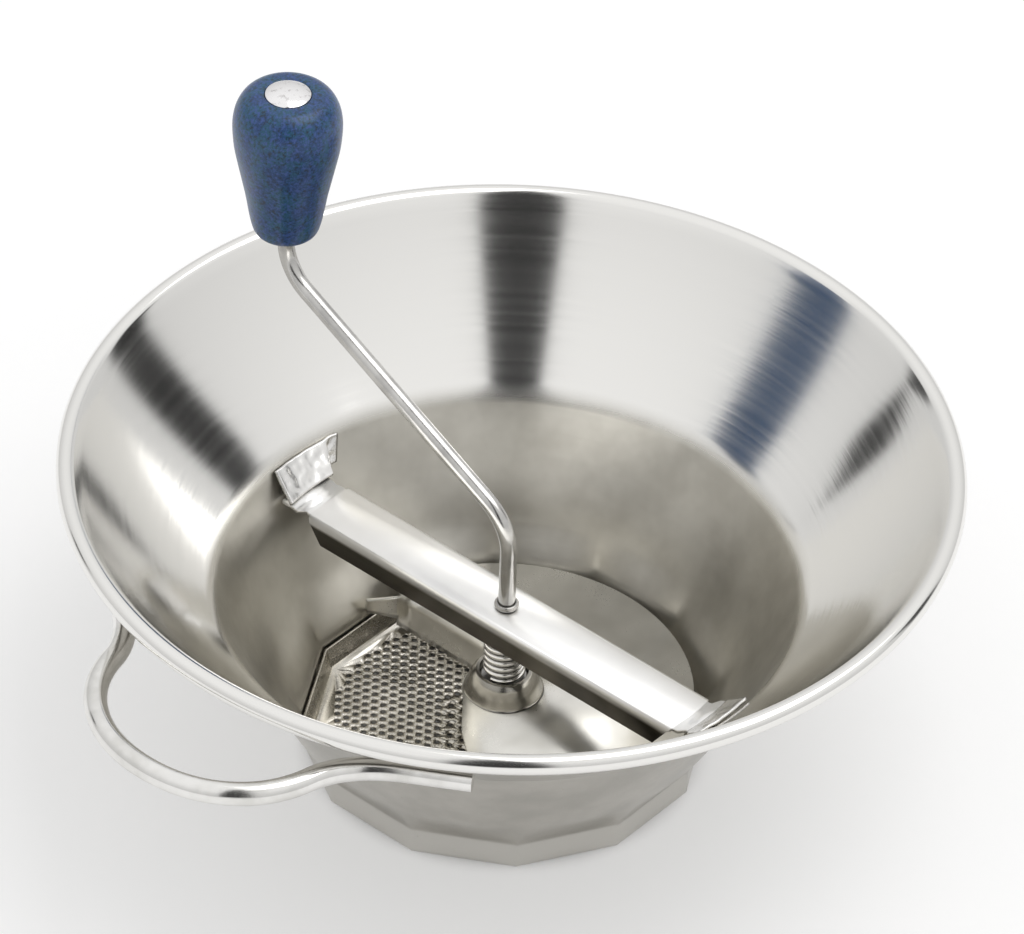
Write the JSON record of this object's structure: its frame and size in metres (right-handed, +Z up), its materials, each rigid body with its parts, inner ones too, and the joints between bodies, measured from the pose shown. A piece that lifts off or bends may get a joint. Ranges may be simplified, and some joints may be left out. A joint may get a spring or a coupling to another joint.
{
  "type": "food mill",
  "caption": "Hand-cranked food mill: flared steel bowl with a side wire handle, perforated sieve, sprung crank blade on a bayonet crossbar, and a turned knob",
  "frame": {"origin": "Centre of the bounding box in X and Y, at the foot's underside", "axes": "+X is the way the side handle points, +Z is up out of the bowl, and the crossbar lies along Y"},
  "size_m": [0.3428, 0.31, 0.2199],
  "materials": {
    "bowl_steel": "polished stainless sheet",
    "rim_wire_steel": "plain wire, hidden in the rim",
    "handle_steel": "polished stainless wire",
    "lug_left_steel": "pressed stainless sheet with weld dents",
    "lug_right_steel": "pressed stainless sheet with weld dents",
    "sieve_steel": "perforated stainless sheet",
    "crossbar_steel": "folded stainless sheet",
    "bush_steel": "turned steel",
    "upper_washer_steel": "plain steel",
    "spring_steel": "spring wire",
    "lower_washer_steel": "plain steel",
    "crank_rod_steel": "dull plated rod",
    "collar_steel": "dull plated steel",
    "hub_steel": "polished stainless",
    "blade_steel": "pressed stainless sheet",
    "end_washer_steel": "plain steel",
    "end_nut_steel": "plain steel",
    "stop_ring_steel": "plain steel",
    "push_nut_steel": "plain steel",
    "knob_paint": "glossy blue lacquer on turned wood",
    "knob_cap_chrome": "bright chrome"
  },
  "bodies": {
    "bowl": {"bowl_shell": "bowl_steel", "rim_wire": "rim_wire_steel", "side_handle": "handle_steel", "lug_left": "lug_left_steel", "lug_right": "lug_right_steel", "sieve": "sieve_steel"},
    "crossbar": {"crossbar": "crossbar_steel", "bar_bush": "bush_steel", "upper_washer": "upper_washer_steel", "spring": "spring_steel"},
    "thrust_washer": {"lower_washer": "lower_washer_steel"},
    "crank": {"crank_rod": "crank_rod_steel", "rod_collar": "collar_steel", "hub": "hub_steel", "blade": "blade_steel", "end_washer": "end_washer_steel", "end_nut": "end_nut_steel", "stop_ring": "stop_ring_steel", "push_nut": "push_nut_steel"},
    "knob": {"knob": "knob_paint", "knob_cap": "knob_cap_chrome"}
  },
  "joints": [
    {"name": "bar_twist", "type": "hinge", "parent": "bowl", "child": "crossbar", "pos_m": [-0.0164, 0, 0.0576], "axis": [0, 0, 1], "range_deg": [0, 30]},
    {"name": "blade_lift", "type": "slide", "parent": "crossbar", "child": "thrust_washer", "axis": [0, 0, 1], "range_m": [0, 0.005], "stiffness_N_per_m": 8000, "springref_m": -0.004, "deforming": ["spring"]},
    {"name": "crank_spin", "type": "hinge", "parent": "thrust_washer", "child": "crank", "pos_m": [-0.0164, 0, 0.05], "axis": [0, 0, 1], "continuous": true},
    {"name": "knob_spin", "type": "hinge", "parent": "crank", "child": "knob", "pos_m": [-0.02315, -0.11039, 0.18], "axis": [0, 0, 1], "continuous": true}
  ]
}
